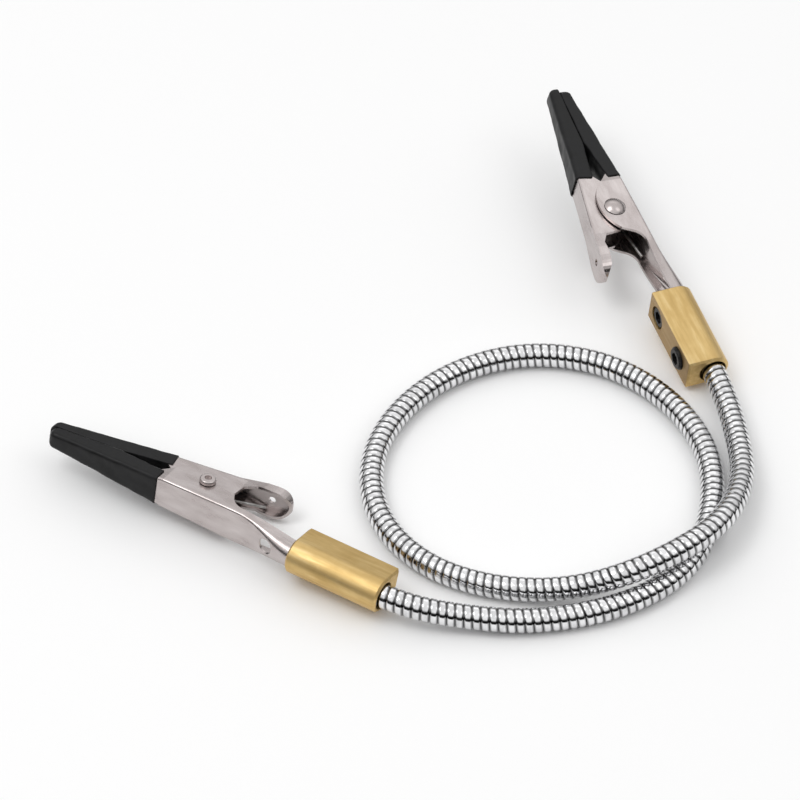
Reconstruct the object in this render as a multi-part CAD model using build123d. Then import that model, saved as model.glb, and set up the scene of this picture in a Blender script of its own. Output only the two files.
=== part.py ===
from build123d import *
import math
import os

# Double-ended flexible-arm clamp. A chromed gooseneck lies in a loop on a table, and each of
# its ends is clamped in a brass block that also holds an alligator clip with rubber sleeves.
# Millimetres, +Z up, Z = 0 is the table, and the origin is under the middle of the whole.

# ---- Head: one brass block with its clip, built once and placed at both ends ----
# Head frame: +X from the block towards the jaw tips, +Y from the fixed half to the lever,
# +Z along the rivet towards its domed head. X = 0 is the block's front face, and the X axis
# is the axis of the block's bore.

# Brass block
BLOCK_LENGTH = 20.9
BLOCK_HALF_HEIGHT = 3.65
BLOCK_FLAT_Y = 5.6
BORE_RADIUS = 2.95
BLOCK_CHAMFER = 0.4
# How far each block is rolled round the bore from its clip, in degrees
BLOCK_ROLL = {"left": 6.0, "right": -7.5}

# Set screws, M5 x 4
SCREW_RADIUS = 2.47
SCREW_HOLE_RADIUS = 2.5
SCREW_LENGTH = 4.0
SCREW_CHAMFER = 0.4
SOCKET_ACROSS_FLATS = 2.5
SOCKET_DEPTH = 2.2
CLIP_SCREW_X = -4.3
CLIP_SCREW_TIP_Y = 1.4
ARM_SCREW_X = -15.6
ARM_SCREW_TIP_Y = 2.35

# Clip halves, stamped sheet
SHEET = 0.6
BEND = 0.5
TIP_X = 57.6
PIVOT_X = 23.4
PIVOT_Y = 4.85
FIXED_HALF_WIDTH = 3.85
EAR_END_X = 31.0
FIXED_WAIST = [(EAR_END_X, 3.5), (33.5, 3.05)]
FIXED_WEB_Y = -0.1
FIXED_TIP_Y = 0.65
FLANGE_TOP_Y = 1.7
LEVER_HALF_WIDTH = 2.8
LEVER_WEB_Y = 11.0
LEVER_SLOPE = -0.174
PADDLE_HALF_WIDTH = 3.35
PADDLE_END_X = 7.4
PADDLE_DROP = 1.4
PADDLE_DROP_LENGTH = 2.4
PADDLE_ROUND_LENGTH = 4.0
ROUND_STEPS = 9
PADDLE_HOLE_X = 12.2
PADDLE_HOLE_RADIUS = 0.75
TIP_HALF_WIDTH = 1.65
LEVER_TAPER_X = 33.0

# Mouth: the jaws meet on the bite line, from the mouth's corner to the tips
MOUTH_X = 43.4
BITE_Y_AT_MOUTH = 3.8
BITE_Y_AT_TIP = 2.9
BITE_GAP = 0.14
TOOTH_PITCH = 1.7
TOOTH_DEPTH = 0.6
TOOTH_COUNT = 8

# Neck and shank of the fixed half
NECK_START_X = 13.0
NECK_HOLE_X = 5.7
NECK_HOLE_RADIUS = 1.65
SHANK_LENGTH = 8.5
# Sections of the neck: x, half width, web, flange top, bend radius
NECK_SECTIONS = [
    (NECK_START_X, FIXED_HALF_WIDTH, FIXED_WEB_Y, FLANGE_TOP_Y, BEND),
    (8.6, 3.45, -0.7, 1.7, 0.9),
    (4.2, 2.95, -1.9, 1.5, 1.8),
    (0.4, 2.7, -2.7, 1.1, 2.35),
]

# Rivet
RIVET_RADIUS = 1.2
RIVET_CLEARANCE = 0.05
RIVET_HEAD_RADIUS = 2.3
RIVET_HEAD_HEIGHT = 1.0
RIVET_TAIL_RADIUS = 1.7
RIVET_TAIL_HEIGHT = 0.9
RIVET_TAIL_ROUND = 0.4
RIVET_DIMPLE_RADIUS = 0.75
RIVET_DIMPLE_DEPTH = 0.6

# Torsion spring
WIRE_RADIUS = 0.35
COIL_RADIUS = 1.85
COIL_PITCH = 0.8
COIL_TURNS = 3
COIL_Z = -0.3
FIXED_LEG_X = 13.5
FIXED_LEG_Y = 0.95

# Rubber sleeves
SLEEVE_WALL = 0.3
# Where each sleeve starts and where its tip ends
FIXED_SLEEVE_ENDS = {"left": (32.3, 58.6), "right": (32.2, 59.3)}
LEVER_SLEEVE_ENDS = {"left": (32.3, 59.3), "right": (32.8, 60.3)}

# ---- Where the heads lie: bore axis at the block's front face, then yaw, pitch, roll ----
LEFT_PLACE = (-21.1, -54.82, 6.01)
LEFT_TURN = (149.7, 2.5, 190.8)
RIGHT_PLACE = (57.4, 17.9, 7.2)
RIGHT_TURN = (110.8, 7.2, 9.4)

# ---- Gooseneck arm ----
ARM_DIAMETER = 5.0
ARM_BORE = 2.0
ARC_SHARE = 0.45
# Route of the centreline from inside the left block, round the loop, over itself and into
# the right block. The top of the hump over the crossing has two points.
ROUTE = [
    (-11.2, -61.0, 5.5),
    (-0.4, -67.3, 4.9),
    (12.0, -69.2, 3.2),
    (27.2, -70.2, 2.5),
    (45.1, -65.7, 2.5),
    (58.7, -55.0, 2.5),
    (63.8, -38.3, 2.5),
    (63.2, -21.6, 2.5),
    (55.6, -7.1, 2.5),
    (43.0, 3.3, 2.5),
    (26.9, 6.3, 2.5),
    (11.5, 0.9, 2.5),
    (0.0, -10.3, 2.5),
    (-6.2, -25.2, 2.5),
    (-4.7, -41.7, 2.5),
    (4.7, -54.6, 2.5),
    (18.9, -61.0, 2.5),
    (34.6, -62.2, 3.4),
    (50.1, -60.0, 8.2),
    (64.6, -48.8, 8.2),
    (70.0, -33.3, 5.2),
    (68.9, -18.0, 4.0),
    (66.2, -4.4, 4.0),
    (61.7, 7.4, 5.6),
]
# Stretches of the arm, each from the middle of one run to the middle of another. The bends
# flex at the joints, and the others keep their shape.
RUNS = len(ROUTE) - 1
STRETCHES = [
    ("left_arm_end", None, 0),
    ("left_lift_bend", 0, 2),
    ("left_arm_link", 2, 3),
    ("left_swing_bend", 3, 4),
    ("arm_loop", 4, RUNS - 5),
    ("right_swing_bend", RUNS - 5, RUNS - 4),
    ("right_arm_link", RUNS - 4, RUNS - 3),
    ("right_lift_bend", RUNS - 3, RUNS - 1),
    ("right_arm_end", RUNS - 1, None),
]


def prism_z(points, half_width):
    """A side outline, points in XY, as a solid centred on the plane Z = 0."""
    face = make_face(Polyline(*points, close=True))
    return extrude(face, amount=half_width, both=True)


def plan_prism(points):
    """A plan outline, half of it given as (x, half width), as a tall solid along Y."""
    outline = [(x, z) for x, z in points] + [(x, -z) for x, z in reversed(points)]
    face = Plane.XZ * make_face(Polyline(*outline, close=True))
    return extrude(face, amount=30, both=True)


def lever_web(x):
    return LEVER_WEB_Y + LEVER_SLOPE * (x - PIVOT_X)


def bite(x):
    share = (x - MOUTH_X) / (TIP_X - MOUTH_X)
    return BITE_Y_AT_MOUTH + share * (BITE_Y_AT_TIP - BITE_Y_AT_MOUTH)


def cylinder_y(radius, x, y_from, y_to, z=0.0):
    """A round bar along +Y."""
    base = Plane(origin=(x, y_from, z), x_dir=(1, 0, 0), z_dir=(0, 1, 0))
    return extrude(base * Circle(radius), amount=y_to - y_from)


def teeth(y_offset, shift):
    """The notches between the teeth, along the bite line."""
    cuts = []
    for i in range(TOOTH_COUNT):
        x = MOUTH_X + 1.4 + (i + shift) * TOOTH_PITCH
        y = bite(x) + y_offset
        half = 0.42 * TOOTH_PITCH
        deep = y + math.copysign(TOOTH_DEPTH, y_offset)
        rim = y - math.copysign(0.05, y_offset)
        cuts.append(prism_z([(x - half, rim), (x, deep), (x + half, rim)], 5))
    return cuts


def u_section(x, half_width, web_y, top_y, bend):
    """The cross-section of a folded channel, open towards +Y, in the plane at X = x."""
    inner = max(bend - SHEET, 0.15)
    inside = half_width - SHEET
    floor = web_y + SHEET
    k = 1 - math.sqrt(0.5)
    outer_mid = (half_width - k * bend, web_y + k * bend)
    inner_mid = (inside - k * inner, floor + k * inner)
    path = [
        Line((half_width, top_y), (half_width, web_y + bend)),
        ThreePointArc((half_width, web_y + bend), outer_mid, (half_width - bend, web_y)),
        Line((half_width - bend, web_y), (bend - half_width, web_y)),
        ThreePointArc(
            (bend - half_width, web_y),
            (-outer_mid[0], outer_mid[1]),
            (-half_width, web_y + bend),
        ),
        Line((-half_width, web_y + bend), (-half_width, top_y)),
        Line((-half_width, top_y), (-inside, top_y)),
        Line((-inside, top_y), (-inside, floor + inner)),
        ThreePointArc(
            (-inside, floor + inner),
            (-inner_mid[0], inner_mid[1]),
            (inner - inside, floor),
        ),
        Line((inner - inside, floor), (inside - inner, floor)),
        ThreePointArc((inside - inner, floor), inner_mid, (inside, floor + inner)),
        Line((inside, floor + inner), (inside, top_y)),
        Line((inside, top_y), (half_width, top_y)),
    ]
    plane = Plane(origin=(x, 0, 0), x_dir=(0, 0, 1), z_dir=(-1, 0, 0))
    return plane * make_face(path)


def fixed_envelope():
    """The fixed half without its hollow, from the neck to the tip."""
    top = BITE_GAP / 2 + SLEEVE_WALL
    ear = [
        Line((NECK_START_X, FIXED_WEB_Y), (EAR_END_X, FIXED_WEB_Y)),
        Line((EAR_END_X, FIXED_WEB_Y), (TIP_X, FIXED_TIP_Y)),
        Line((TIP_X, FIXED_TIP_Y), (TIP_X, bite(TIP_X) - top)),
        Line((TIP_X, bite(TIP_X) - top), (MOUTH_X, bite(MOUTH_X) - top)),
        Line((MOUTH_X, bite(MOUTH_X) - top), (34.0, 2.3)),
        Line((34.0, 2.3), (31.4, 4.6)),
        ThreePointArc((31.4, 4.6), (24.4, 8.15), (17.6, 5.7)),
        Line((17.6, 5.7), (16.4, 3.6)),
        ThreePointArc((16.4, 3.6), (15.3, 2.3), (NECK_START_X, FLANGE_TOP_Y)),
        Line((NECK_START_X, FLANGE_TOP_Y), (NECK_START_X, FIXED_WEB_Y)),
    ]
    side = extrude(make_face(ear), amount=6, both=True)
    return side & plan_prism(fixed_plan(0.0))


def fixed_plan(inset):
    """Half the fixed half's plan: its ears, its waist and its tapered jaw."""
    waist = [(x, half_width - inset) for x, half_width in FIXED_WAIST]
    return [
        (NECK_START_X - inset, FIXED_HALF_WIDTH - inset),
        (NECK_START_X + 3.0, FIXED_HALF_WIDTH - inset),
        *waist,
        (TIP_X - 1.0, TIP_HALF_WIDTH - inset),
        (TIP_X - inset, TIP_HALF_WIDTH - 0.7 - inset / 2),
    ]


def fixed_jaw():
    solid = fixed_envelope()
    folds = [
        e
        for e in solid.edges()
        if e.length > 2
        and e.center().Y < 1.0
        and abs(e.center().Z) > 1.8
    ]
    solid = fillet(folds, BEND)
    hollow_side = prism_z(
        [
            (NECK_START_X - 1, FIXED_WEB_Y + SHEET),
            (EAR_END_X, FIXED_WEB_Y + SHEET),
            (TIP_X - SHEET, FIXED_TIP_Y + SHEET),
            (TIP_X - SHEET, 12.0),
            (NECK_START_X - 1, 12.0),
        ],
        6,
    )
    solid -= hollow_side & plan_prism(fixed_plan(SHEET))
    for cut in teeth(-BITE_GAP / 2 - SLEEVE_WALL, 0.0):
        solid -= cut
    sections = [u_section(*values) for values in NECK_SECTIONS]
    solid += loft(sections)
    solid += extrude(sections[-1], amount=SHANK_LENGTH + sections[-1].center().X)
    solid -= cylinder_y(NECK_HOLE_RADIUS, NECK_HOLE_X, -5, 0.5)
    solid -= Pos(PIVOT_X, PIVOT_Y, 0) * Cylinder(RIVET_RADIUS, 20)
    return solid


def lever_back(inset):
    """The lever's back in side view, turned down round the end of the paddle."""
    points = []
    for step in range(ROUND_STEPS + 1):
        angle = math.radians(90 * step / ROUND_STEPS)
        x = PADDLE_END_X + inset + (PADDLE_DROP_LENGTH - inset) * (1 - math.cos(angle))
        drop = (PADDLE_DROP - inset) * (1 - math.sin(angle))
        points.append((x, lever_web(x) - inset - drop))
    return points


def lever_envelope():
    """The lever half without its hollow."""
    low = BITE_GAP / 2 + SLEEVE_WALL
    points = lever_back(0.0) + [
        (TIP_X, lever_web(TIP_X)),
        (TIP_X, bite(TIP_X) + low),
        (MOUTH_X, bite(MOUTH_X) + low),
        (34.0, 6.4),
        (31.6, 4.6),
        (27.2, 2.6),
        (23.4, 1.7),
        (20.2, 2.5),
        (17.7, 5.7),
        (17.2, 9.2),
        (14.8, 10.7),
        (11.6, 10.8),
        (9.0, 11.3),
    ]
    side = prism_z(points, 6)
    plan = plan_prism(lever_plan(0.0))
    return side & plan


def lever_plan(inset):
    """Half the lever's plan: its paddle's round end, flare, body and tapered jaw."""
    wide = PADDLE_HALF_WIDTH - inset
    start = PADDLE_END_X + inset
    round_length = PADDLE_ROUND_LENGTH - inset
    end = []
    for step in range(ROUND_STEPS + 1):
        angle = math.radians(90 * step / ROUND_STEPS)
        x = start + round_length * (1 - math.cos(angle))
        end.append((x, max(wide * math.sin(angle), 0.05)))
    return end + [
        (13.6, wide),
        (17.6, LEVER_HALF_WIDTH - inset),
        (LEVER_TAPER_X, LEVER_HALF_WIDTH - inset),
        (TIP_X - 1.0, TIP_HALF_WIDTH - inset),
        (TIP_X - inset * 0.5, TIP_HALF_WIDTH - 0.6 - inset * 0.5),
    ]


def lever_jaw():
    solid = lever_envelope()
    folds = [
        e
        for e in solid.edges()
        if e.length > 10
        and abs(e.center().Y - lever_web(e.center().X)) < 0.1
        and abs(e.center().Z) > 1.5
    ]
    solid = fillet(folds, BEND)
    hollow_side = prism_z(
        lever_back(SHEET)
        + [
            (TIP_X - SHEET, lever_web(TIP_X - SHEET) - SHEET),
            (TIP_X - SHEET, -6.0),
            (PADDLE_END_X + SHEET, -6.0),
        ],
        6,
    )
    solid -= hollow_side & plan_prism(lever_plan(SHEET))
    for cut in teeth(BITE_GAP / 2 + SLEEVE_WALL, 0.5):
        solid -= cut
    solid -= Pos(PIVOT_X, PIVOT_Y, 0) * Cylinder(RIVET_RADIUS + RIVET_CLEARANCE, 20)
    solid -= cylinder_y(PADDLE_HOLE_RADIUS, PADDLE_HOLE_X, 11, 16)
    return solid


def pivot_rivet():
    """A domed head on +Z and a peened tail on -Z."""
    face = FIXED_HALF_WIDTH
    outward = (Align.CENTER, Align.CENTER, Align.MIN)
    inward = (Align.CENTER, Align.CENTER, Align.MAX)
    dome_radius = (RIVET_HEAD_RADIUS**2 + RIVET_HEAD_HEIGHT**2) / (2 * RIVET_HEAD_HEIGHT)
    ball = Pos(0, 0, face + RIVET_HEAD_HEIGHT - dome_radius) * Sphere(dome_radius)
    head = ball & Pos(0, 0, face) * Cylinder(RIVET_HEAD_RADIUS, 3, align=outward)
    tail = Pos(0, 0, -face) * Cylinder(RIVET_TAIL_RADIUS, RIVET_TAIL_HEIGHT, align=inward)
    tail = fillet(tail.edges().sort_by(Axis.Z)[0], RIVET_TAIL_ROUND)
    dimple = Cylinder(RIVET_DIMPLE_RADIUS, RIVET_DIMPLE_DEPTH, align=outward)
    tail -= Pos(0, 0, -face - RIVET_TAIL_HEIGHT) * dimple
    return Pos(PIVOT_X, PIVOT_Y, 0) * (Cylinder(RIVET_RADIUS, 2 * face) + head + tail)


def torsion_spring():
    """Turns round the rivet, with a leg on each half that pushes the two rear ends apart."""
    fixed_drop = PIVOT_Y - COIL_RADIUS - FIXED_LEG_Y
    lever_leg_y = lever_web(PADDLE_HOLE_X) - SHEET - WIRE_RADIUS - 0.1
    lever_rise = lever_leg_y - PIVOT_Y - COIL_RADIUS
    start_angle = -90 + math.degrees(math.atan2(fixed_drop, PIVOT_X - FIXED_LEG_X))
    end_angle = 90 - math.degrees(math.atan2(lever_rise, PIVOT_X - PADDLE_HOLE_X))
    height = (COIL_TURNS + (end_angle - start_angle) / 360) * COIL_PITCH
    coil = Helix(COIL_PITCH, height, COIL_RADIUS)
    coil = Pos(PIVOT_X, PIVOT_Y, COIL_Z - height / 2) * Rot(Z=start_angle) * coil
    start, start_way = coil @ 0, coil % 0
    end, end_way = coil @ 1, coil % 1
    fixed_leg = Line(start - start_way * math.hypot(fixed_drop, PIVOT_X - FIXED_LEG_X), start)
    lever_leg = Line(end, end + end_way * math.hypot(lever_rise, PIVOT_X - PADDLE_HOLE_X))
    wire = Wire([fixed_leg, *coil.edges(), lever_leg])
    return sweep(Plane(origin=wire @ 0, z_dir=wire % 0) * Circle(WIRE_RADIUS), path=wire)


def sleeve_plan(waist, rear, tip):
    """Half a sleeve's plan, from the waist's (x, half width) points to a rounded tip."""
    rear_x, rear_width = waist[0]
    widths = [(x, half_width + SLEEVE_WALL) for x, half_width in waist]
    narrow = TIP_HALF_WIDTH + SLEEVE_WALL
    return [
        (min(rear, rear_x) - 1.0, rear_width + SLEEVE_WALL),
        *widths,
        (tip - 1.8, narrow),
        (tip - 0.6, narrow - 0.4),
        (tip, narrow - 1.1),
    ]


def fixed_jaw_sleeve(rear, tip):
    """A thin sock over the fixed jaw, closed at its tip and open at its rear."""
    half = BITE_GAP / 2
    side = prism_z(
        [
            (rear, FIXED_WEB_Y - SLEEVE_WALL),
            (tip - 1.6, FIXED_TIP_Y - SLEEVE_WALL),
            (tip - 0.4, FIXED_TIP_Y + 0.1),
            (tip, FIXED_TIP_Y + 0.8),
            (tip, bite(tip) - half - 0.35),
            (tip - 0.35, bite(tip - 0.35) - half),
            (MOUTH_X, bite(MOUTH_X) - half),
            (rear, 2.7),
        ],
        6,
    )
    outer = side & plan_prism(sleeve_plan(FIXED_WAIST, rear, tip))
    return outer - fixed_envelope()


def lever_jaw_sleeve(rear, tip):
    """A thin sock over the lever's jaw, closed at its tip and open at its rear."""
    half = BITE_GAP / 2
    side = prism_z(
        [
            (rear + 0.6, lever_web(rear + 0.6) + SLEEVE_WALL),
            (rear, 6.0),
            (MOUTH_X, bite(MOUTH_X) + half),
            (tip - 0.35, bite(tip - 0.35) + half),
            (tip, bite(tip) + half + 0.35),
            (tip, lever_web(tip) - 0.7),
            (tip - 0.5, lever_web(tip) + 0.05),
            (tip - 1.6, lever_web(tip - 1.6) + SLEEVE_WALL),
        ],
        6,
    )
    outer = side & plan_prism(sleeve_plan([(LEVER_TAPER_X, LEVER_HALF_WIDTH)], rear, tip))
    return outer - lever_envelope()


def brass_block():
    plane = Plane(origin=(0, 0, 0), x_dir=(0, 1, 0), z_dir=(-1, 0, 0))
    flat = Pos(BLOCK_FLAT_Y / 2, 0) * Rectangle(BLOCK_FLAT_Y, 2 * BLOCK_HALF_HEIGHT)
    outline = flat + Circle(BLOCK_HALF_HEIGHT)
    solid = extrude(plane * outline, amount=BLOCK_LENGTH)
    ends = solid.faces().sort_by(Axis.X)[0].edges() + solid.faces().sort_by(Axis.X)[-1].edges()
    solid = chamfer(ends, BLOCK_CHAMFER)
    solid -= extrude(plane * Circle(BORE_RADIUS), amount=BLOCK_LENGTH)
    for x in (CLIP_SCREW_X, ARM_SCREW_X):
        solid -= cylinder_y(SCREW_HOLE_RADIUS, x, 0.0, BLOCK_FLAT_Y + 1)
    return solid


def set_screw(x, tip_y):
    """A headless screw along Y, with its hexagon socket on the outer end."""
    top = tip_y + SCREW_LENGTH
    solid = cylinder_y(SCREW_RADIUS, x, tip_y, top)
    ends = solid.edges().filter_by(GeomType.CIRCLE)
    solid = chamfer(ends, SCREW_CHAMFER)
    base = Plane(origin=(x, top - SOCKET_DEPTH, 0), x_dir=(1, 0, 0), z_dir=(0, 1, 0))
    socket = RegularPolygon(SOCKET_ACROSS_FLATS / 2, 6, major_radius=False)
    return solid - extrude(base * socket, amount=SOCKET_DEPTH + 1)


def head_place(origin, turn):
    yaw, pitch, roll = turn
    return Pos(*origin) * Rot(Z=yaw) * Rot(Y=-pitch) * Rot(X=roll)


def middle(run):
    a, b = Vector(*ROUTE[run]), Vector(*ROUTE[run + 1])
    return (a + b) * 0.5


def corner_radii():
    """The radius of the arc at each inner point of the route."""
    radii = []
    for i in range(1, len(ROUTE) - 1):
        before = Vector(*ROUTE[i]) - Vector(*ROUTE[i - 1])
        after = Vector(*ROUTE[i + 1]) - Vector(*ROUTE[i])
        turn = math.radians(before.get_angle(after))
        shorter = min(before.length, after.length)
        radii.append(ARC_SHARE * shorter / math.tan(turn / 2))
    return radii


def stretch_path(first, last, radii):
    """The centreline from the middle of run first to the middle of run last."""
    start = 0 if first is None else first + 1
    stop = RUNS if last is None else last
    points = [Vector(*ROUTE[i]) for i in range(start, stop + 1)]
    corners = [radii[i - 1] for i in range(max(start, 1), min(stop, RUNS - 1) + 1)]
    if first is not None:
        points.insert(0, middle(first))
    if last is not None:
        points.append(middle(last))
    if not corners:
        return Line(points[0], points[-1])
    return FilletPolyline(*points, radius=corners)


def tube(path):
    ring = Circle(ARM_DIAMETER / 2) - Circle(ARM_BORE / 2)
    return sweep(Plane(origin=path @ 0, z_dir=path % 0) * ring, path=path)


def write(shape, node):
    solid = shape.solids()[0]
    export_step(solid, "parts/" + node + ".step")
    return solid


os.makedirs("parts", exist_ok=True)
written = []
head_pieces = {
    "clip_set_screw": set_screw(CLIP_SCREW_X, CLIP_SCREW_TIP_Y),
    "arm_set_screw": set_screw(ARM_SCREW_X, ARM_SCREW_TIP_Y),
    "brass_block": brass_block(),
    "fixed_jaw": fixed_jaw(),
    "lever_jaw": lever_jaw(),
    "pivot_rivet": pivot_rivet(),
    "torsion_spring": torsion_spring(),
}
ROLLED_PIECES = ("clip_set_screw", "arm_set_screw", "brass_block")
for side, origin, turn in (("left", LEFT_PLACE, LEFT_TURN), ("right", RIGHT_PLACE, RIGHT_TURN)):
    place = head_place(origin, turn)
    sleeves = {
        "fixed_jaw_sleeve": fixed_jaw_sleeve(*FIXED_SLEEVE_ENDS[side]),
        "lever_jaw_sleeve": lever_jaw_sleeve(*LEVER_SLEEVE_ENDS[side]),
    }
    for name, piece in (head_pieces | sleeves).items():
        roll = Rot(X=BLOCK_ROLL[side] if name in ROLLED_PIECES else 0)
        written.append(write(place * roll * piece, side + "_" + name))
    pivot = (place * Pos(PIVOT_X, PIVOT_Y, 0)).position
    print(side, "pivot", [round(v, 3) for v in pivot])
    axes = {"X": (1, 0, 0), "Y": (0, 1, 0), "Z": (0, 0, 1)}
    for label, axis in axes.items():
        end = (place * Pos(*axis)).position - place.position
        print(side, label, [round(v, 5) for v in end])

radii = corner_radii()
print("arc radii", [round(r, 1) for r in radii])
section = math.pi * (ARM_DIAMETER**2 - ARM_BORE**2) / 4
total = 0.0
for name, first, last in STRETCHES:
    path = stretch_path(first, last, radii)
    total += path.length
    stretch = tube(path)
    ratio = stretch.volume / (section * path.length)
    print(name, "length", round(path.length, 1), "volume ratio", round(ratio, 4))
    written.append(write(stretch, name))
print("arm length", round(total, 1))
whole = Compound(children=written).bounding_box()
print("whole", whole.min, whole.max)
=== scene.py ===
import math

import bmesh
import bpy
import numpy as np
from mathutils import Matrix, Vector, noise


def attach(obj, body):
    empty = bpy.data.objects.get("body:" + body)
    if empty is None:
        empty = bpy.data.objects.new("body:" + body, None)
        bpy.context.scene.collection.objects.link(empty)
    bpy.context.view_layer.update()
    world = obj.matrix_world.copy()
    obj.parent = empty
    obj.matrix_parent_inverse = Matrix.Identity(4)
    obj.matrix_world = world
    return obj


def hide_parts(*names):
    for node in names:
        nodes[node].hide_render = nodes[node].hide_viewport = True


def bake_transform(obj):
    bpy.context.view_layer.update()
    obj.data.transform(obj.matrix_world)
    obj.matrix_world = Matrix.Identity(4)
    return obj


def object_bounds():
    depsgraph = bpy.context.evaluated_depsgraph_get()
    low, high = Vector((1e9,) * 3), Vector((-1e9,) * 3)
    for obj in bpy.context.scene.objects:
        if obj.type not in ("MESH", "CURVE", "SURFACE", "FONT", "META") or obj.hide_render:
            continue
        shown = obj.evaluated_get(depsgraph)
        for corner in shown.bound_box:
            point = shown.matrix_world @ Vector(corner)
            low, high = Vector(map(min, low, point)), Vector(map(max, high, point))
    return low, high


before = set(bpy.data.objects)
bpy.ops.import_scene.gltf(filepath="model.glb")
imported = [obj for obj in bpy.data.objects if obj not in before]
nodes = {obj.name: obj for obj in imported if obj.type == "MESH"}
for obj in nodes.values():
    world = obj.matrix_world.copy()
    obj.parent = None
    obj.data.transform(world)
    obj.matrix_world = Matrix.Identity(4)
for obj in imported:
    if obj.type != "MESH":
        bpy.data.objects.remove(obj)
cad_low, cad_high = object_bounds()

MM = 0.001

# ---- Heads: the same places and sizes as in the CAD, in millimetres and degrees ----
SIDES = {
    "left": ((-21.1, -54.82, 6.01), (149.7, 2.5, 190.8)),
    "right": ((57.4, 17.9, 7.2), (110.8, 7.2, 9.4)),
}
BLOCK_ROLL = {"left": 6.0, "right": -7.5}
BLOCK_FLAT_Y = 5.6
FIXED_SLEEVE_ENDS = {"left": (32.3, 58.6), "right": (32.2, 59.3)}
LEVER_SLEEVE_ENDS = {"left": (32.3, 59.3), "right": (32.8, 60.3)}
TIP_X = 57.6
TIP_HALF_WIDTH = 1.65
EAR_END_X = 31.0
FIXED_WEB_Y = -0.1
FIXED_TIP_Y = 0.65
FIXED_WIDTHS = [(EAR_END_X, 3.5), (33.5, 3.05), (TIP_X - 1.0, TIP_HALF_WIDTH)]
LEVER_WIDTHS = [(33.0, 2.8), (TIP_X - 1.0, TIP_HALF_WIDTH)]
LEVER_WEB_Y = 11.0
LEVER_SLOPE = -0.174
PIVOT_X = 23.4
MOUTH_X = 43.4
BITE_Y_AT_MOUTH = 3.8
BITE_Y_AT_TIP = 2.9
BITE_GAP = 0.14
SLEEVE_WALL = 0.3
FIXED_RIM_Y_AT_REAR = 2.7
LEVER_RIM_Y_AT_REAR = 6.0

# ---- Gooseneck: the route of its centreline, from the left block to the right, in metres ----
ARM_DIAMETER = 0.005
RING_PITCH = 0.0017
GROOVE_DEPTH = 0.00030
GROOVE_START = 0.62
GROOVE_FADE = 0.22
AROUND = 28
PER_RING = 8
ROUTE = [
    (-0.0112, -0.0610, 0.0055),
    (-0.0004, -0.0673, 0.0049),
    (0.0120, -0.0692, 0.0032),
    (0.0272, -0.0702, 0.0025),
    (0.0451, -0.0657, 0.0025),
    (0.0587, -0.0550, 0.0025),
    (0.0638, -0.0383, 0.0025),
    (0.0632, -0.0216, 0.0025),
    (0.0556, -0.0071, 0.0025),
    (0.0430, 0.0033, 0.0025),
    (0.0269, 0.0063, 0.0025),
    (0.0115, 0.0009, 0.0025),
    (0.0000, -0.0103, 0.0025),
    (-0.0062, -0.0252, 0.0025),
    (-0.0047, -0.0417, 0.0025),
    (0.0047, -0.0546, 0.0025),
    (0.0189, -0.0610, 0.0025),
    (0.0346, -0.0622, 0.0034),
    (0.0501, -0.0600, 0.0082),
    (0.0646, -0.0488, 0.0082),
    (0.0700, -0.0333, 0.0052),
    (0.0689, -0.0180, 0.0040),
    (0.0662, -0.0044, 0.0040),
    (0.0617, 0.0074, 0.0056),
]
RUNS = len(ROUTE) - 1


def head_matrix(side, rolled=0.0):
    """From a head's own frame, in metres, to the row frame; a block is rolled in it."""
    (x, y, z), (yaw, pitch, roll) = SIDES[side]
    turn = Matrix.Rotation(math.radians(yaw), 4, "Z")
    turn = turn @ Matrix.Rotation(math.radians(-pitch), 4, "Y")
    turn = turn @ Matrix.Rotation(math.radians(roll + rolled), 4, "X")
    return Matrix.Translation(Vector((x, y, z)) * MM) @ turn


# ---- Camera, floor and light, in metres, degrees and watts ----
CAMERA_LENS = 239.6
CAMERA_SENSOR = 36.0
CAMERA_ELEVATION = 45
CAMERA_DISTANCE = 1.1
CAMERA_TARGET = (0.0002, -0.0054, 0.0)
FLOOR_HALF = 3.0
FLOOR_GAP = 0.00005
STUDIO_STRENGTH = 0.97


def make_camera():
    data = bpy.data.cameras.new("camera")
    data.lens = CAMERA_LENS
    data.sensor_width = CAMERA_SENSOR
    camera = bpy.data.objects.new("camera", data)
    bpy.context.scene.collection.objects.link(camera)
    elevation = math.radians(CAMERA_ELEVATION)
    away = Vector((0.0, -math.cos(elevation), math.sin(elevation)))
    camera.location = Vector(CAMERA_TARGET) + CAMERA_DISTANCE * away
    camera.rotation_euler = (math.pi / 2 - elevation, 0.0, 0.0)
    bpy.context.scene.camera = camera


def principled(name, color, roughness, metallic=0.0):
    material = bpy.data.materials.new(name)
    material.use_nodes = True
    shader = material.node_tree.nodes["Principled BSDF"]
    shader.inputs["Base Color"].default_value = (*color, 1.0)
    shader.inputs["Roughness"].default_value = roughness
    shader.inputs["Metallic"].default_value = metallic
    return material, material.node_tree, shader


def area_light(name, place, size, power):
    """A rectangular light that points at the origin."""
    data = bpy.data.lights.new(name, "AREA")
    data.shape = "RECTANGLE"
    data.size, data.size_y = size
    data.energy = power
    light = bpy.data.objects.new(name, data)
    light.location = place
    light.rotation_euler = (-Vector(place)).to_track_quat("-Z", "Y").to_euler()
    bpy.context.scene.collection.objects.link(light)


# Brightness of the studio's walls and ceiling by height: a dark skirting, grey walls and a
# bright ceiling, which the polished turns and the plate mirror
STUDIO_HEIGHTS = [
    (0.00, 0.01),
    (0.15, 0.02),
    (0.24, 0.45),
    (0.42, 0.85),
    (0.70, 1.0),
    (1.0, 1.0),
]


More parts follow.
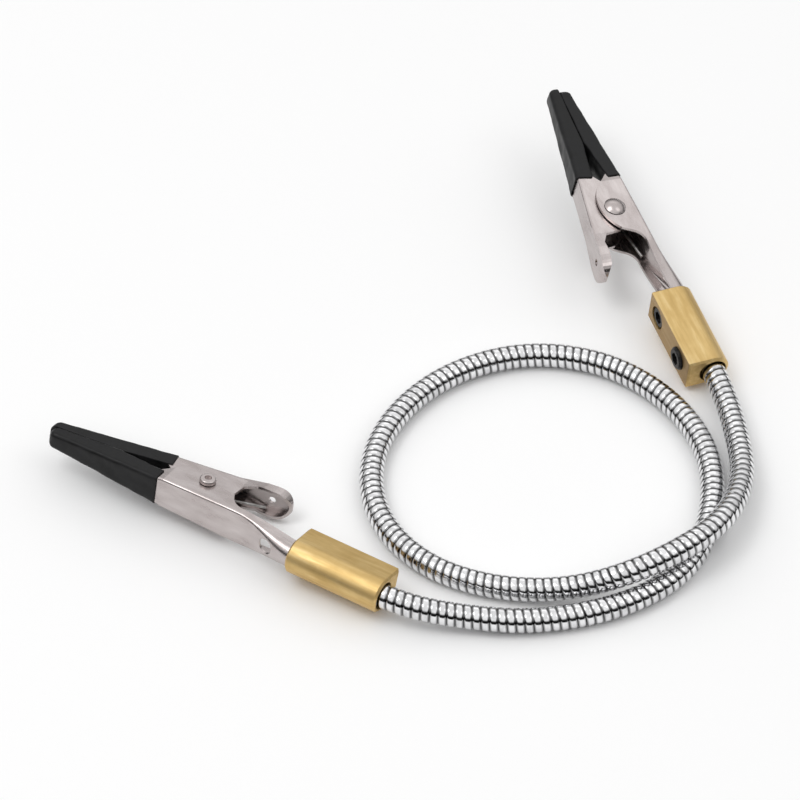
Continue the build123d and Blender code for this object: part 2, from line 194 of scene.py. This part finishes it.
def make_floor():
    material, _, _ = principled("floor_paper", (0.97, 0.97, 0.97), 0.9)
    mesh = bpy.data.meshes.new("floor")
    half = FLOOR_HALF
    corners = [(-half, -half, 0), (half, -half, 0), (half, half, 0), (-half, half, 0)]
    mesh.from_pydata(corners, [], [(0, 1, 2, 3)])
    mesh.materials.append(material)
    floor = bpy.data.objects.new("floor", mesh)
    floor.location.z = min(cad_low.z, 0.0) - FLOOR_GAP
    bpy.context.scene.collection.objects.link(floor)


def make_world():
    world = bpy.data.worlds.new("studio")
    bpy.context.scene.world = world
    world.use_nodes = True
    tree = world.node_tree
    coordinates = tree.nodes.new("ShaderNodeTexCoord")
    split = tree.nodes.new("ShaderNodeSeparateXYZ")
    tree.links.new(coordinates.outputs["Generated"], split.inputs[0])
    walls = ramp(tree, split.outputs["Z"], [(z, (v, v, v)) for z, v in STUDIO_HEIGHTS])
    # The wall behind the camera is dark up to half height; the turns mirror it as dark squares
    low = remap(tree, split.outputs["Z"], 0.40, 0.60, 1.0, 0.0)
    front = remap(tree, split.outputs["Y"], -0.45, -0.15, 1.0, 0.0)
    both = tree.nodes.new("ShaderNodeMath")
    both.operation = "MULTIPLY"
    tree.links.new(low, both.inputs[0])
    tree.links.new(front, both.inputs[1])
    walls = mix_colors(tree, both.outputs["Value"], walls, (0.01, 0.01, 0.01))
    background = tree.nodes["Background"]
    tree.links.new(walls, background.inputs["Color"])
    background.inputs["Strength"].default_value = STUDIO_STRENGTH


def make_studio():
    bpy.context.scene.view_settings.view_transform = "Standard"
    make_floor()
    make_world()
    area_light("key", (-0.45, -0.15, 1.0), (0.5, 0.5), 2.3)
    area_light("fill", (0.7, -0.2, 0.9), (0.4, 0.6), 0.6)
    area_light("back", (0.1, 0.9, 0.8), (0.9, 0.3), 0.3)


# ---- Material helpers ----
def texture_coordinates(tree, side=None, scale=(1.0, 1.0, 1.0), rolled=0.0):
    """Coordinates that stay on the piece; with a side, along that head's own axes."""
    source = tree.nodes.new("ShaderNodeTexCoord")
    mapping = tree.nodes.new("ShaderNodeMapping")
    tree.links.new(source.outputs["Object"], mapping.inputs["Vector"])
    if side is None:
        mapping.inputs["Scale"].default_value = scale
        return mapping.outputs["Vector"]
    inverse = head_matrix(side, rolled).inverted()
    mapping.inputs["Rotation"].default_value = inverse.to_euler("XYZ")
    mapping.inputs["Location"].default_value = inverse.to_translation()
    stretch = tree.nodes.new("ShaderNodeMapping")
    stretch.inputs["Scale"].default_value = scale
    tree.links.new(mapping.outputs["Vector"], stretch.inputs["Vector"])
    return stretch.outputs["Vector"]


def noise_value(tree, vector, scale, detail, roughness=0.55):
    """Noise from 0 to 1; the scale is in waves to the metre."""
    texture = tree.nodes.new("ShaderNodeTexNoise")
    texture.inputs["Scale"].default_value = scale
    texture.inputs["Detail"].default_value = detail
    texture.inputs["Roughness"].default_value = roughness
    tree.links.new(vector, texture.inputs["Vector"])
    return texture.outputs["Fac"]


def ramp(tree, value, stops):
    """A colour ramp, with stops of (position, (red, green, blue))."""
    node = tree.nodes.new("ShaderNodeValToRGB")
    elements = node.color_ramp.elements
    while len(elements) < len(stops):
        elements.new(0.5)
    for element, (position, color) in zip(elements, stops):
        element.position = position
        element.color = (*color, 1.0)
    tree.links.new(value, node.inputs["Fac"])
    return node.outputs["Color"]


def remap(tree, value, low, high, to_low, to_high):
    """The value taken from one range to another, and held inside it."""
    node = tree.nodes.new("ShaderNodeMapRange")
    node.inputs["From Min"].default_value = low
    node.inputs["From Max"].default_value = high
    node.inputs["To Min"].default_value = to_low
    node.inputs["To Max"].default_value = to_high
    tree.links.new(value, node.inputs["Value"])
    return node.outputs["Result"]


def mix_colors(tree, factor, first, second, blend="MIX"):
    """Two colours mixed; each input is a socket, a number or a colour."""
    node = tree.nodes.new("ShaderNodeMix")
    node.data_type = "RGBA"
    node.blend_type = blend
    # A mix node's colour sockets share their names with its other types, so they go by place
    sockets = (node.inputs[0], node.inputs[6], node.inputs[7])
    for value, socket in zip((factor, first, second), sockets):
        if isinstance(value, bpy.types.NodeSocket):
            tree.links.new(value, socket)
        elif isinstance(value, tuple):
            socket.default_value = (*value, 1.0)
        else:
            socket.default_value = value
    return node.outputs[2]


def bump(tree, shader, height, strength, distance):
    """Relief up to a distance in metres."""
    node = tree.nodes.new("ShaderNodeBump")
    node.inputs["Strength"].default_value = strength
    node.inputs["Distance"].default_value = distance
    tree.links.new(height, node.inputs["Height"])
    tree.links.new(node.outputs["Normal"], shader.inputs["Normal"])


# ---- Materials ----
def nickel_material(side):
    """Plate with a faint cloud and a grain along the clip."""
    material, tree, shader = principled("nickel_plate_" + side, (0.50, 0.45, 0.44), 0.3, 1.0)
    along = texture_coordinates(tree, side, (1.0, 3.0, 3.0))
    cloud = noise_value(tree, along, 120.0, 5.0)
    fine = noise_value(tree, texture_coordinates(tree, side, (1.0, 7.0, 7.0)), 1300.0, 3.0)
    tints = [
        (0.30, (0.44, 0.39, 0.38)),
        (0.50, (0.52, 0.47, 0.46)),
        (0.75, (0.60, 0.55, 0.54)),
    ]
    tint = ramp(tree, cloud, tints)
    tree.links.new(tint, shader.inputs["Base Color"])
    tree.links.new(remap(tree, cloud, 0.3, 0.75, 0.30, 0.20), shader.inputs["Roughness"])
    bump(tree, shader, fine, 0.06, 0.00003)
    return material


def brass_material(side):
    """Satin brass drawn along the block, with painted shade: a browner, darker face where the
    screws are.
    """
    material, tree, shader = principled("brass_" + side, (0.72, 0.52, 0.22), 0.48, 1.0)
    rolled = BLOCK_ROLL[side]
    vector = texture_coordinates(tree, side, rolled=rolled)
    split = tree.nodes.new("ShaderNodeSeparateXYZ")
    tree.links.new(vector, split.inputs[0])
    drawn = texture_coordinates(tree, side, (1.0, 9.0, 9.0), rolled)
    streak = noise_value(tree, drawn, 130.0, 4.0)
    stain = noise_value(tree, vector, 150.0, 5.0, 0.6)
    tints = [
        (0.32, (0.66, 0.47, 0.20)),
        (0.52, (0.72, 0.52, 0.23)),
        (0.72, (0.79, 0.60, 0.30)),
    ]
    gold = ramp(tree, streak, tints)
    dull = ramp(tree, stain, [(0.35, (0.80, 0.74, 0.62)), (0.62, (1.0, 1.0, 1.0))])
    color = mix_colors(tree, 0.5, gold, dull, "MULTIPLY")
    flat = BLOCK_FLAT_Y * MM
    # Painted shade: the flat face with the screws is mixed towards a dark brown, standing in for
    # the shade on that face
    face = remap(tree, split.outputs["Y"], flat - 0.00006, flat - 0.00002, 0.0, 0.8)
    color = mix_colors(tree, face, color, (0.36, 0.24, 0.12))
    tree.links.new(color, shader.inputs["Base Color"])
    tree.links.new(remap(tree, streak, 0.3, 0.7, 0.54, 0.42), shader.inputs["Roughness"])
    bump(tree, shader, streak, 0.10, 0.00004)
    return material


def sleeve_material():
    material, tree, shader = principled("black_sleeve", (0.010, 0.010, 0.011), 0.42)
    shader.inputs["Specular IOR Level"].default_value = 0.22
    vector = texture_coordinates(tree)
    cloud = noise_value(tree, vector, 320.0, 5.0)
    grain = noise_value(tree, vector, 2600.0, 2.0)
    tint = ramp(tree, cloud, [(0.3, (0.006, 0.006, 0.006)), (0.7, (0.015, 0.015, 0.016))])
    tree.links.new(tint, shader.inputs["Base Color"])
    tree.links.new(remap(tree, cloud, 0.3, 0.7, 0.30, 0.5), shader.inputs["Roughness"])
    bump(tree, shader, grain, 0.2, 0.00003)
    return material


def screw_material():
    material, tree, shader = principled("black_oxide", (0.02, 0.02, 0.022), 0.38, 0.6)
    fine = noise_value(tree, texture_coordinates(tree), 1800.0, 3.0)
    tint = ramp(tree, fine, [(0.35, (0.008, 0.008, 0.009)), (0.7, (0.05, 0.048, 0.046))])
    tree.links.new(tint, shader.inputs["Base Color"])
    tree.links.new(remap(tree, fine, 0.3, 0.7, 0.3, 0.55), shader.inputs["Roughness"])
    return material


def wire_material():
    material, tree, shader = principled("spring_wire", (0.42, 0.41, 0.40), 0.3, 1.0)
    fine = noise_value(tree, texture_coordinates(tree), 1200.0, 3.0)
    tint = ramp(tree, fine, [(0.35, (0.30, 0.29, 0.28)), (0.7, (0.55, 0.54, 0.53))])
    tree.links.new(tint, shader.inputs["Base Color"])
    return material


def chrome_material():
    """Bright turns with dark joints between them: the groove attribute is 1 in a joint."""
    material, tree, shader = principled("chromed_coil", (0.72, 0.72, 0.73), 0.16, 1.0)
    groove = tree.nodes.new("ShaderNodeAttribute")
    groove.attribute_name = "groove"
    smear = noise_value(tree, texture_coordinates(tree), 420.0, 4.0)
    bright = ramp(tree, smear, [(0.3, (0.64, 0.64, 0.65)), (0.6, (0.86, 0.86, 0.87))])
    color = mix_colors(tree, groove.outputs["Fac"], bright, (0.012, 0.012, 0.012))
    tree.links.new(color, shader.inputs["Base Color"])
    tree.links.new(remap(tree, smear, 0.3, 0.7, 0.16, 0.07), shader.inputs["Roughness"])
    return material


# ---- Gooseneck ----
def route_line():
    """The centreline's points, read from the route's NURBS spline."""
    curve = bpy.data.curves.new("arm_route", "CURVE")
    curve.dimensions = "3D"
    curve.resolution_u = 24
    spline = curve.splines.new("NURBS")
    spline.points.add(len(ROUTE) - 1)
    for point, place in zip(spline.points, ROUTE):
        point.co = (*place, 1.0)
    spline.order_u = 3
    spline.use_endpoint_u = True
    holder = bpy.data.objects.new("arm_route", curve)
    bpy.context.scene.collection.objects.link(holder)
    bpy.context.view_layer.update()
    mesh = bpy.data.meshes.new_from_object(holder)
    line = np.array([v.co for v in mesh.vertices])
    bpy.data.objects.remove(holder)
    bpy.data.meshes.remove(mesh)
    return line


def middle(run):
    """The middle of one straight run of the route."""
    return (Vector(ROUTE[run]) + Vector(ROUTE[run + 1])) / 2


class Line:
    """A centreline with its distances and a frame carried along it without twist."""

    def __init__(self, points):
        self.points = points
        steps = np.linalg.norm(np.diff(points, axis=0), axis=1)
        self.distance = np.concatenate([[0.0], np.cumsum(steps)])
        self.length = self.distance[-1]
        tangents = np.gradient(points, axis=0)
        self.tangents = tangents / np.linalg.norm(tangents, axis=1)[:, None]
        side = np.array([0.0, 0.0, 1.0])
        normals = []
        for tangent in self.tangents:
            side = side - tangent * np.dot(side, tangent)
            side = side / np.linalg.norm(side)
            normals.append(side)
        self.normals = np.array(normals)

    def near(self, place):
        """The distance along the line of its point nearest a place."""
        return self.distance[np.linalg.norm(self.points - np.array(place), axis=1).argmin()]

    def at(self, distance):
        """Place, tangent, normal and side at each of an array of distances."""
        distance = np.clip(distance, 0.0, self.length)
        place, tangent, normal = (
            np.stack([np.interp(distance, self.distance, v[:, k]) for k in range(3)], axis=-1)
            for v in (self.points, self.tangents, self.normals)
        )
        tangent = tangent / np.linalg.norm(tangent, axis=-1, keepdims=True)
        normal = normal - tangent * np.sum(normal * tangent, axis=-1, keepdims=True)
        normal = normal / np.linalg.norm(normal, axis=-1, keepdims=True)
        return place, tangent, normal, np.cross(tangent, normal)


def ring_profile(phase):
    """Radius, and how deep in a joint, across one turn: a convex band between two joints."""
    across = np.abs(2.0 * phase - 1.0)
    crown = 1.0 - across**5
    radius = ARM_DIAMETER / 2 - GROOVE_DEPTH * (1.0 - crown)
    return radius, np.clip((across - GROOVE_START) / GROOVE_FADE, 0.0, 1.0)


def coil_piece(name, line, start, end, material):
    """The wound turns between two distances: one strip of quads that climbs like the wire."""
    first = int(round(start / RING_PITCH)) * PER_RING
    last = int(round(end / RING_PITCH)) * PER_RING
    rows = np.arange(first, last + 1)
    columns = AROUND + 1
    shares = np.arange(columns) / AROUND
    turn = rows[:, None] / PER_RING + shares[None, :]
    phase = np.repeat((rows % PER_RING)[:, None] / PER_RING, columns, axis=1)
    radius, groove = ring_profile(phase)
    place, _, normal, side = line.at((turn - 0.5) * RING_PITCH)
    angle = np.pi + 2.0 * np.pi * shares[None, :, None]
    out = np.cos(angle) * normal + np.sin(angle) * side
    vertices = (place + radius[..., None] * out).reshape(-1, 3)
    faces = []
    for row in range(len(rows) - 1):
        for column in range(AROUND):
            a = row * columns + column
            faces.append((a, a + 1, a + columns + 1, a + columns))
    mesh = bpy.data.meshes.new(name)
    mesh.from_pydata(vertices.tolist(), [], faces)
    layer = mesh.attributes.new("groove", "FLOAT", "POINT")
    layer.data.foreach_set("value", groove.reshape(-1).astype(np.float32))
    # The strip's two sides lie on each other, one turn apart, and are joined
    form = bmesh.new()
    form.from_mesh(mesh)
    bmesh.ops.remove_doubles(form, verts=form.verts, dist=1e-6)
    form.to_mesh(mesh)
    form.free()
    mesh.polygons.foreach_set("use_smooth", [True] * len(mesh.polygons))
    mesh.materials.append(material)
    piece = bpy.data.objects.new(name, mesh)
    bpy.context.scene.collection.objects.link(piece)
    return piece


# Runs of the route, counted from the left, at whose middles one piece ends and the next starts
CUT_RUNS = (3, 5, 17, 19)
# Each piece, the CAD nodes it replaces, and the two bodies it lies between with the runs at
# whose middles the bend of its centreline starts and ends
ARM_PLAN = [
    (
        "left_arm_coil",
        ("left_arm_end", "left_lift_bend", "left_arm_link"),
        ("left_link", "left_head", 2, 0),
    ),
    ("left_swing_coil", ("left_swing_bend",), ("arm", "left_link", 4, 3)),
    ("loop_coil", ("arm_loop",), None),
    ("right_swing_coil", ("right_swing_bend",), ("arm", "right_link", RUNS - 5, RUNS - 4)),
    (
        "right_arm_coil",
        ("right_arm_link", "right_lift_bend", "right_arm_end"),
        ("right_link", "right_head", RUNS - 3, RUNS - 1),
    ),
]


def make_arm():
    line = Line(route_line())
    material = chrome_material()
    # Each piece ends on a whole turn, at the middle of one of the route's runs
    inner = [line.near(middle(run)) for run in CUT_RUNS]
    inner = [round(distance / RING_PITCH) * RING_PITCH for distance in inner]
    cuts = [0.0, *inner, line.length]
    for (name, replaced, bend), start, end in zip(ARM_PLAN, cuts, cuts[1:]):
        piece = coil_piece(name, line, start, end, material)
        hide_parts(*replaced)
        if bend is None:
            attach(piece, "arm")
        else:
            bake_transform(piece)


# ---- Sleeves, in a head's own frame and in millimetres ----
OUTLINE_POINTS = 72
CORNER_STEPS = 6
FOLD_ROUND = 0.9
LIP_ROUND = 0.12
TIP_ROUND = 1.5
TIP_SHRINK = 0.3
RING_STEP = 0.4
LEVER_REAR_SLANT = 0.6
SLANT_LENGTH = 3.0
WRINKLE_FADE = 1.5
WRINKLE_LIMIT = 0.05
FLAT_SIDE_SHARE = 0.35


def bite(x):
    """Where the two jaws meet, at x."""
    share = (x - MOUTH_X) / (TIP_X - MOUTH_X)
    return BITE_Y_AT_MOUTH + share * (BITE_Y_AT_TIP - BITE_Y_AT_MOUTH)


def lever_web(x):
    """The outer face of the lever's web, at x."""
    return LEVER_WEB_Y + LEVER_SLOPE * (x - PIVOT_X)


def half_width(x, widths):
    return float(np.interp(x, [p[0] for p in widths], [p[1] for p in widths]))


def fixed_section(x, rear):
    """Bottom, top and half width of the fixed jaw's sleeve at x."""
    web = float(np.interp(x, [EAR_END_X, TIP_X], [FIXED_WEB_Y, FIXED_TIP_Y]))
    rim = bite(x) - BITE_GAP / 2
    if x < MOUTH_X:
        rims = (FIXED_RIM_Y_AT_REAR, bite(MOUTH_X) - BITE_GAP / 2)
        rim = float(np.interp(x, [rear, MOUTH_X], rims))
    return web - SLEEVE_WALL, rim, half_width(x, FIXED_WIDTHS) + SLEEVE_WALL


def lever_section(x, rear):
    """Bottom, top and half width of the lever jaw's sleeve at x."""
    rim = bite(x) + BITE_GAP / 2
    if x < MOUTH_X:
        rims = (LEVER_RIM_Y_AT_REAR, bite(MOUTH_X) + BITE_GAP / 2)
        rim = float(np.interp(x, [rear, MOUTH_X], rims))
    return rim, lever_web(x) + SLEEVE_WALL, half_width(x, LEVER_WIDTHS) + SLEEVE_WALL


def rounded_outline(low, high, half, low_round, high_round):
    """A closed outline in (y, z): a rectangle with its low and high corners rounded."""
    points = []
    corners = [
        (high, half, high_round, 0),
        (low, half, low_round, 90),
        (low, -half, low_round, 180),
        (high, -half, high_round, 270),
    ]
    for y, z, r, turn in corners:
        cy = y - math.copysign(r, y - (low + high) / 2)
        cz = z - math.copysign(r, z)
        for k in range(CORNER_STEPS + 1):
            angle = math.radians(turn + 90 * k / CORNER_STEPS)
            points.append((cy + r * math.cos(angle), cz + r * math.sin(angle)))
    return points


def resample(points):
    """The outline as OUTLINE_POINTS evenly spaced points."""
    closed = np.array(points + points[:1])
    steps = np.linalg.norm(np.diff(closed, axis=0), axis=1)
    distance = np.concatenate([[0], np.cumsum(steps)])
    wanted = np.linspace(0, distance[-1], OUTLINE_POINTS, endpoint=False)
    return [
        (float(np.interp(s, distance, closed[:, 0])), float(np.interp(s, distance, closed[:, 1])))
        for s in wanted
    ]


def sleeve_rings(section, rear, tip, on_lever):
    """Rings of (x, y, z) from inside the rear edge, out and along the sleeve to its tip."""
    rounds = (LIP_ROUND, FOLD_ROUND) if on_lever else (FOLD_ROUND, LIP_ROUND)
    slant = LEVER_REAR_SLANT if on_lever else 0.0
    rear_low, rear_high, _ = section(rear, rear)

    def ring(x, inset, shrink=1.0):
        low, high, half = section(x, rear)
        meet = low if on_lever else high
        low = meet + (low + inset - meet) * shrink
        high = meet + (high - inset - meet) * shrink
        half = (half - inset) * shrink
        safe = [min(r, (high - low) / 2.05, half / 1.02) for r in rounds]
        outline = resample(rounded_outline(low, high, half, *safe))
        near_rear = max(0.0, 1.0 - (x - rear) / SLANT_LENGTH)
        points = []
        for y, z in outline:
            share = (y - rear_low) / (rear_high - rear_low)
            points.append((x + slant * share * near_rear, y, z))
        return points

    inner = SLEEVE_WALL - 0.03
    rings = [ring(rear + 2.0, inner), ring(rear + 0.5, inner), ring(rear + 0.05, inner - 0.02)]
    rings += [ring(rear, inner / 2), ring(rear, 0.1), ring(rear + 0.06, 0.02)]
    rings += [ring(x, 0.0) for x in np.arange(rear + 0.16, tip - TIP_ROUND, RING_STEP)]
    for degrees in range(5, 91, 10):
        angle = math.radians(degrees)
        shrink = max(math.cos(angle) ** 0.6, TIP_SHRINK)
        rings.append(ring(tip - TIP_ROUND * (1.0 - math.sin(angle)), 0.0, shrink))
    return rings


def wrinkle(place, seed):
    """How far the rubber stands out or in, in millimetres."""
    soft = noise.noise(Vector((place[0] * 0.30, place[1] * 0.55, place[2] * 0.55)) + seed)
    folds = noise.noise(Vector((place[0] * 0.95, place[1] * 0.35, place[2] * 0.35)) + seed * 2)
    return 0.10 * soft + 0.05 * folds


def make_sleeve(side, name, section, ends, on_lever, body, material):
    rear, tip = ends
    rings = sleeve_rings(section, rear, tip, on_lever)
    count = OUTLINE_POINTS
    vertices = [Vector(p) * MM for r in rings for p in r]
    faces = []
    for row in range(len(rings) - 1):
        for k in range(count):
            a = row * count + k
            b = row * count + (k + 1) % count
            faces.append((a, b, b + count, a + count))
    faces.append(tuple(range((len(rings) - 1) * count, len(rings) * count)))
    mesh = bpy.data.meshes.new(name)
    mesh.from_pydata(vertices, [], faces)
    mesh.update()
    seed = Vector((3.1, 7.7, 1.3)) * (len(name) + (5 if side == "left" else 11))
    normals = [v.normal.copy() for v in mesh.vertices]
    for vertex, normal in zip(mesh.vertices, normals):
        place = vertex.co / MM
        fade = min(max((place.x - rear) / WRINKLE_FADE, 0.0), 1.0)
        flat = FLAT_SIDE_SHARE if abs(normal.z) > 0.8 else 1.0
        depth = wrinkle(place, seed) * fade * flat
        vertex.co += normal * min(depth, WRINKLE_LIMIT) * MM
    mesh.transform(head_matrix(side))
    mesh.polygons.foreach_set("use_smooth", [True] * len(mesh.polygons))
    mesh.materials.append(material)
    piece = bpy.data.objects.new(name, mesh)
    bpy.context.scene.collection.objects.link(piece)
    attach(piece, body)
    return piece


def make_sleeves():
    material = sleeve_material()
    for side in SIDES:
        name = side + "_fixed_sleeve_rubber"
        ends = FIXED_SLEEVE_ENDS[side]
        fixed = make_sleeve(side, name, fixed_section, ends, False, side + "_head", material)
        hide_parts(side + "_fixed_jaw_sleeve")
        name = side + "_lever_sleeve_rubber"
        ends = LEVER_SLEEVE_ENDS[side]
        lever = make_sleeve(side, name, lever_section, ends, True, side + "_lever", material)
        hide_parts(side + "_lever_jaw_sleeve")


# ---- Paint on the CAD pieces that stay ----
def paint(name, material):
    mesh = nodes[name].data
    mesh.materials.clear()
    mesh.materials.append(material)


def paint_heads():
    black = screw_material()
    wire = wire_material()
    for side in SIDES:
        nickel = nickel_material(side)
        brass = brass_material(side)
        for name in ("fixed_jaw", "lever_jaw", "pivot_rivet"):
            paint(side + "_" + name, nickel)
        paint(side + "_brass_block", brass)
        paint(side + "_clip_set_screw", black)
        paint(side + "_arm_set_screw", black)
        paint(side + "_torsion_spring", wire)


make_camera()
make_arm()
make_sleeves()
paint_heads()
make_studio()
